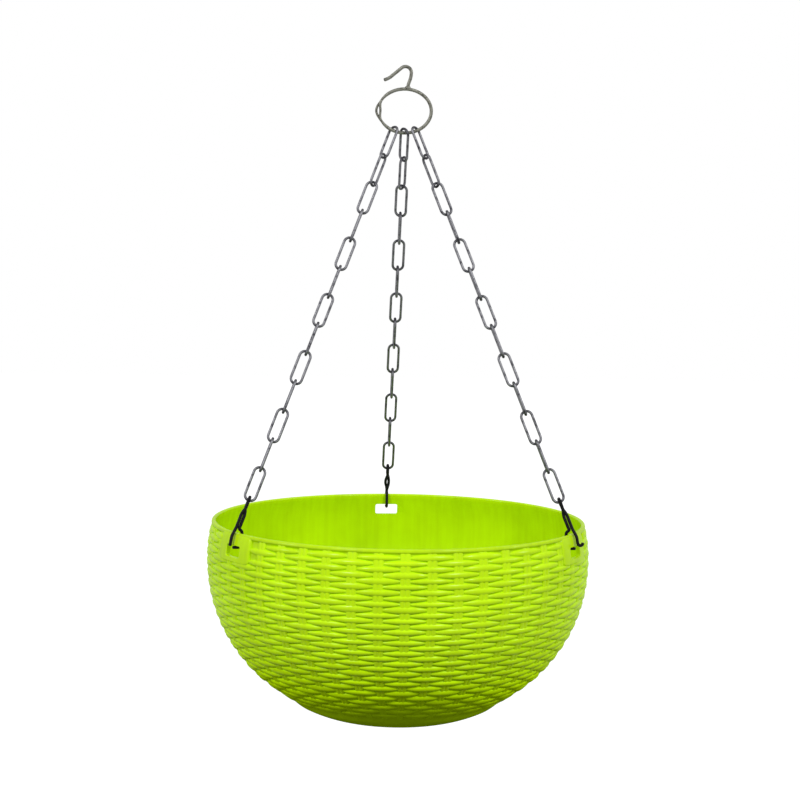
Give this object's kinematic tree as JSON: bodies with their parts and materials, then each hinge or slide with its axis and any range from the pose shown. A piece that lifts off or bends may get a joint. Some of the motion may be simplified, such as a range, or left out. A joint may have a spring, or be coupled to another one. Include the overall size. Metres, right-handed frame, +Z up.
{
  "type": "hanging planter",
  "caption": "Round moulded basket-weave planter bowl hung by wire rim clips and oval-link chains from a wire ring with an open hook.",
  "frame": {"origin": "saddle under the crown of the hook, where the planter rests on what it hangs from, straight above the bowl's axis", "axes": "+Z up, +X to the right along the ring as the planter faces the viewer, +Y to the back, towards the back chain"},
  "size_m": [0.2498, 0.2514, 0.4215],
  "materials": {
    "lime_plastic": "moulded satin-gloss lime green, weave relief outside",
    "ring_steel": "dull drawn wire, lightly tarnished",
    "chain_steel": "zinc-plated wire, slightly dulled",
    "black_wire": "black coated wire, satin"
  },
  "bodies": {
    "hanger": {"hanging_hook": "ring_steel", "hanging_ring": "ring_steel"},
    "basket": {"planter_bowl": "lime_plastic", "back_chain_link_01": "chain_steel", "left_chain_link_01": "chain_steel", "right_chain_link_01": "chain_steel"},
    "back_link_02": {"back_chain_link_02": "chain_steel"},
    "back_link_03": {"back_chain_link_03": "chain_steel"},
    "back_link_04": {"back_chain_link_04": "chain_steel"},
    "back_link_05": {"back_chain_link_05": "chain_steel"},
    "back_link_06": {"back_chain_link_06": "chain_steel"},
    "back_link_07": {"back_chain_link_07": "chain_steel"},
    "back_link_08": {"back_chain_link_08": "chain_steel"},
    "back_link_09": {"back_chain_link_09": "chain_steel"},
    "back_link_10": {"back_chain_link_10": "chain_steel"},
    "back_link_11": {"back_chain_link_11": "chain_steel"},
    "back_link_12": {"back_chain_link_12": "chain_steel"},
    "back_link_13": {"back_chain_link_13": "chain_steel"},
    "back_clip": {"back_rim_clip": "black_wire"},
    "left_link_02": {"left_chain_link_02": "chain_steel"},
    "left_link_03": {"left_chain_link_03": "chain_steel"},
    "left_link_04": {"left_chain_link_04": "chain_steel"},
    "left_link_05": {"left_chain_link_05": "chain_steel"},
    "left_link_06": {"left_chain_link_06": "chain_steel"},
    "left_link_07": {"left_chain_link_07": "chain_steel"},
    "left_link_08": {"left_chain_link_08": "chain_steel"},
    "left_link_09": {"left_chain_link_09": "chain_steel"},
    "left_link_10": {"left_chain_link_10": "chain_steel"},
    "left_link_11": {"left_chain_link_11": "chain_steel"},
    "left_link_12": {"left_chain_link_12": "chain_steel"},
    "left_link_13": {"left_chain_link_13": "chain_steel"},
    "left_clip": {"left_rim_clip": "black_wire"},
    "right_link_02": {"right_chain_link_02": "chain_steel"},
    "right_link_03": {"right_chain_link_03": "chain_steel"},
    "right_link_04": {"right_chain_link_04": "chain_steel"},
    "right_link_05": {"right_chain_link_05": "chain_steel"},
    "right_link_06": {"right_chain_link_06": "chain_steel"},
    "right_link_07": {"right_chain_link_07": "chain_steel"},
    "right_link_08": {"right_chain_link_08": "chain_steel"},
    "right_link_09": {"right_chain_link_09": "chain_steel"},
    "right_link_10": {"right_chain_link_10": "chain_steel"},
    "right_link_11": {"right_chain_link_11": "chain_steel"},
    "right_link_12": {"right_chain_link_12": "chain_steel"},
    "right_link_13": {"right_chain_link_13": "chain_steel"},
    "right_clip": {"right_rim_clip": "black_wire"}
  },
  "joints": [
    {"name": "basket_swing", "type": "hinge", "parent": "hanger", "child": "basket", "pos_m": [0, 0, -0.04], "axis": [1, 0, 0], "range_deg": [-20, 20]},
    {"name": "back_link_07_twist", "type": "hinge", "parent": "basket", "child": "back_link_07", "pos_m": [0, 0.05553, -0.15586], "axis": [0, -0.4359, 0.9], "range_deg": [-60, 60]},
    {"name": "back_link_02_twist", "type": "hinge", "parent": "basket", "child": "back_link_02", "pos_m": [0, 0.01227, -0.06653], "axis": [0, -0.4359, 0.9], "range_deg": [-10.1, 10.1]},
    {"name": "back_link_03_twist", "type": "hinge", "parent": "basket", "child": "back_link_03", "pos_m": [0, 0.02092, -0.0844], "axis": [0, -0.4359, 0.9], "range_deg": [-20.1, 20.1]},
    {"name": "back_link_04_twist", "type": "hinge", "parent": "basket", "child": "back_link_04", "pos_m": [0, 0.02958, -0.10226], "axis": [0, -0.4359, 0.9], "range_deg": [-30.1, 30.1]},
    {"name": "back_link_05_twist", "type": "hinge", "parent": "basket", "child": "back_link_05", "pos_m": [0, 0.03823, -0.12013], "axis": [0, -0.4359, 0.9], "range_deg": [-40.1, 40.1]},
    {"name": "back_link_06_twist", "type": "hinge", "parent": "basket", "child": "back_link_06", "pos_m": [0, 0.04688, -0.13799], "axis": [0, -0.4359, 0.9], "range_deg": [-50.1, 50.1]},
    {"name": "back_link_08_twist", "type": "hinge", "parent": "basket", "child": "back_link_08", "pos_m": [0, 0.06419, -0.17372], "axis": [0, -0.4359, 0.9], "range_deg": [-51.6, 51.6]},
    {"name": "back_link_09_twist", "type": "hinge", "parent": "basket", "child": "back_link_09", "pos_m": [0, 0.07284, -0.19159], "axis": [0, -0.4359, 0.9], "range_deg": [-43, 43]},
    {"name": "back_link_10_twist", "type": "hinge", "parent": "basket", "child": "back_link_10", "pos_m": [0, 0.08149, -0.20945], "axis": [0, -0.4359, 0.9], "range_deg": [-34.4, 34.4]},
    {"name": "back_link_11_twist", "type": "hinge", "parent": "basket", "child": "back_link_11", "pos_m": [0, 0.09015, -0.22732], "axis": [0, -0.4359, 0.9], "range_deg": [-25.9, 25.9]},
    {"name": "back_link_12_twist", "type": "hinge", "parent": "basket", "child": "back_link_12", "pos_m": [0, 0.0988, -0.24518], "axis": [0, -0.4359, 0.9], "range_deg": [-17.3, 17.3]},
    {"name": "back_link_13_twist", "type": "hinge", "parent": "basket", "child": "back_link_13", "pos_m": [0, 0.10745, -0.26305], "axis": [0, -0.4359, 0.9], "range_deg": [-8.7, 8.7]},
    {"name": "back_clip_sway", "type": "hinge", "parent": "basket", "child": "back_clip", "pos_m": [0, 0.11222, -0.2729], "axis": [0, 0.9, 0.4359], "range_deg": [-6, 6]},
    {"name": "left_link_07_twist", "type": "hinge", "parent": "basket", "child": "left_link_07", "pos_m": [-0.05189, -0.02775, -0.15513], "axis": [0.3536, 0.2191, 0.9094], "range_deg": [-60, 60]},
    {"name": "left_link_02_twist", "type": "hinge", "parent": "basket", "child": "left_link_02", "pos_m": [-0.01701, -0.00614, -0.06542], "axis": [0.3536, 0.2191, 0.9094], "range_deg": [-10.1, 10.1]},
    {"name": "left_link_03_twist", "type": "hinge", "parent": "basket", "child": "left_link_03", "pos_m": [-0.02399, -0.01046, -0.08337], "axis": [0.3536, 0.2191, 0.9094], "range_deg": [-20.1, 20.1]},
    {"name": "left_link_04_twist", "type": "hinge", "parent": "basket", "child": "left_link_04", "pos_m": [-0.03096, -0.01479, -0.10131], "axis": [0.3536, 0.2191, 0.9094], "range_deg": [-30.1, 30.1]},
    {"name": "left_link_05_twist", "type": "hinge", "parent": "basket", "child": "left_link_05", "pos_m": [-0.03794, -0.01911, -0.11925], "axis": [0.3536, 0.2191, 0.9094], "range_deg": [-40.1, 40.1]},
    {"name": "left_link_06_twist", "type": "hinge", "parent": "basket", "child": "left_link_06", "pos_m": [-0.04492, -0.02343, -0.13719], "axis": [0.3536, 0.2191, 0.9094], "range_deg": [-50.1, 50.1]},
    {"name": "left_link_08_twist", "type": "hinge", "parent": "basket", "child": "left_link_08", "pos_m": [-0.05887, -0.03208, -0.17307], "axis": [0.3536, 0.2191, 0.9094], "range_deg": [-51.6, 51.6]},
    {"name": "left_link_09_twist", "type": "hinge", "parent": "basket", "child": "left_link_09", "pos_m": [-0.06585, -0.0364, -0.19101], "axis": [0.3536, 0.2191, 0.9094], "range_deg": [-43, 43]},
    {"name": "left_link_10_twist", "type": "hinge", "parent": "basket", "child": "left_link_10", "pos_m": [-0.07282, -0.04072, -0.20895], "axis": [0.3536, 0.2191, 0.9094], "range_deg": [-34.4, 34.4]},
    {"name": "left_link_11_twist", "type": "hinge", "parent": "basket", "child": "left_link_11", "pos_m": [-0.0798, -0.04505, -0.22689], "axis": [0.3536, 0.2191, 0.9094], "range_deg": [-25.9, 25.9]},
    {"name": "left_link_12_twist", "type": "hinge", "parent": "basket", "child": "left_link_12", "pos_m": [-0.08678, -0.04937, -0.24483], "axis": [0.3536, 0.2191, 0.9094], "range_deg": [-17.3, 17.3]},
    {"name": "left_link_13_twist", "type": "hinge", "parent": "basket", "child": "left_link_13", "pos_m": [-0.09375, -0.05369, -0.26277], "axis": [0.3536, 0.2191, 0.9094], "range_deg": [-8.7, 8.7]},
    {"name": "left_clip_sway", "type": "hinge", "parent": "basket", "child": "left_clip", "pos_m": [-0.09763, -0.05609, -0.27273], "axis": [-0.7906, -0.4496, 0.4158], "range_deg": [-6, 6]},
    {"name": "right_link_07_twist", "type": "hinge", "parent": "basket", "child": "right_link_07", "pos_m": [0.05189, -0.02775, -0.15513], "axis": [-0.3536, 0.2191, 0.9094], "range_deg": [-60, 60]},
    {"name": "right_link_02_twist", "type": "hinge", "parent": "basket", "child": "right_link_02", "pos_m": [0.01701, -0.00614, -0.06542], "axis": [-0.3536, 0.2191, 0.9094], "range_deg": [-10.1, 10.1]},
    {"name": "right_link_03_twist", "type": "hinge", "parent": "basket", "child": "right_link_03", "pos_m": [0.02399, -0.01046, -0.08337], "axis": [-0.3536, 0.2191, 0.9094], "range_deg": [-20.1, 20.1]},
    {"name": "right_link_04_twist", "type": "hinge", "parent": "basket", "child": "right_link_04", "pos_m": [0.03096, -0.01479, -0.10131], "axis": [-0.3536, 0.2191, 0.9094], "range_deg": [-30.1, 30.1]},
    {"name": "right_link_05_twist", "type": "hinge", "parent": "basket", "child": "right_link_05", "pos_m": [0.03794, -0.01911, -0.11925], "axis": [-0.3536, 0.2191, 0.9094], "range_deg": [-40.1, 40.1]},
    {"name": "right_link_06_twist", "type": "hinge", "parent": "basket", "child": "right_link_06", "pos_m": [0.04492, -0.02343, -0.13719], "axis": [-0.3536, 0.2191, 0.9094], "range_deg": [-50.1, 50.1]},
    {"name": "right_link_08_twist", "type": "hinge", "parent": "basket", "child": "right_link_08", "pos_m": [0.05887, -0.03208, -0.17307], "axis": [-0.3536, 0.2191, 0.9094], "range_deg": [-51.6, 51.6]},
    {"name": "right_link_09_twist", "type": "hinge", "parent": "basket", "child": "right_link_09", "pos_m": [0.06585, -0.0364, -0.19101], "axis": [-0.3536, 0.2191, 0.9094], "range_deg": [-43, 43]},
    {"name": "right_link_10_twist", "type": "hinge", "parent": "basket", "child": "right_link_10", "pos_m": [0.07282, -0.04072, -0.20895], "axis": [-0.3536, 0.2191, 0.9094], "range_deg": [-34.4, 34.4]},
    {"name": "right_link_11_twist", "type": "hinge", "parent": "basket", "child": "right_link_11", "pos_m": [0.0798, -0.04505, -0.22689], "axis": [-0.3536, 0.2191, 0.9094], "range_deg": [-25.9, 25.9]},
    {"name": "right_link_12_twist", "type": "hinge", "parent": "basket", "child": "right_link_12", "pos_m": [0.08678, -0.04937, -0.24483], "axis": [-0.3536, 0.2191, 0.9094], "range_deg": [-17.3, 17.3]},
    {"name": "right_link_13_twist", "type": "hinge", "parent": "basket", "child": "right_link_13", "pos_m": [0.09375, -0.05369, -0.26277], "axis": [-0.3536, 0.2191, 0.9094], "range_deg": [-8.7, 8.7]},
    {"name": "right_clip_sway", "type": "hinge", "parent": "basket", "child": "right_clip", "pos_m": [0.09763, -0.05609, -0.27273], "axis": [0.7906, -0.4496, 0.4158], "range_deg": [-6, 6]}
  ],
  "couplings": [
    {"joint": "back_link_02_twist", "follows": "back_link_07_twist", "ratio": 0.16667},
    {"joint": "back_link_03_twist", "follows": "back_link_07_twist", "ratio": 0.33333},
    {"joint": "back_link_04_twist", "follows": "back_link_07_twist", "ratio": 0.5},
    {"joint": "back_link_05_twist", "follows": "back_link_07_twist", "ratio": 0.66667},
    {"joint": "back_link_06_twist", "follows": "back_link_07_twist", "ratio": 0.83333},
    {"joint": "back_link_08_twist", "follows": "back_link_07_twist", "ratio": 0.85714},
    {"joint": "back_link_09_twist", "follows": "back_link_07_twist", "ratio": 0.71429},
    {"joint": "back_link_10_twist", "follows": "back_link_07_twist", "ratio": 0.57143},
    {"joint": "back_link_11_twist", "follows": "back_link_07_twist", "ratio": 0.42857},
    {"joint": "back_link_12_twist", "follows": "back_link_07_twist", "ratio": 0.28571},
    {"joint": "back_link_13_twist", "follows": "back_link_07_twist", "ratio": 0.14286},
    {"joint": "left_link_02_twist", "follows": "left_link_07_twist", "ratio": 0.16667},
    {"joint": "left_link_03_twist", "follows": "left_link_07_twist", "ratio": 0.33333},
    {"joint": "left_link_04_twist", "follows": "left_link_07_twist", "ratio": 0.5},
    {"joint": "left_link_05_twist", "follows": "left_link_07_twist", "ratio": 0.66667},
    {"joint": "left_link_06_twist", "follows": "left_link_07_twist", "ratio": 0.83333},
    {"joint": "left_link_08_twist", "follows": "left_link_07_twist", "ratio": 0.85714},
    {"joint": "left_link_09_twist", "follows": "left_link_07_twist", "ratio": 0.71429},
    {"joint": "left_link_10_twist", "follows": "left_link_07_twist", "ratio": 0.57143},
    {"joint": "left_link_11_twist", "follows": "left_link_07_twist", "ratio": 0.42857},
    {"joint": "left_link_12_twist", "follows": "left_link_07_twist", "ratio": 0.28571},
    {"joint": "left_link_13_twist", "follows": "left_link_07_twist", "ratio": 0.14286},
    {"joint": "right_link_02_twist", "follows": "right_link_07_twist", "ratio": 0.16667},
    {"joint": "right_link_03_twist", "follows": "right_link_07_twist", "ratio": 0.33333},
    {"joint": "right_link_04_twist", "follows": "right_link_07_twist", "ratio": 0.5},
    {"joint": "right_link_05_twist", "follows": "right_link_07_twist", "ratio": 0.66667},
    {"joint": "right_link_06_twist", "follows": "right_link_07_twist", "ratio": 0.83333},
    {"joint": "right_link_08_twist", "follows": "right_link_07_twist", "ratio": 0.85714},
    {"joint": "right_link_09_twist", "follows": "right_link_07_twist", "ratio": 0.71429},
    {"joint": "right_link_10_twist", "follows": "right_link_07_twist", "ratio": 0.57143},
    {"joint": "right_link_11_twist", "follows": "right_link_07_twist", "ratio": 0.42857},
    {"joint": "right_link_12_twist", "follows": "right_link_07_twist", "ratio": 0.28571},
    {"joint": "right_link_13_twist", "follows": "right_link_07_twist", "ratio": 0.14286}
  ]
}
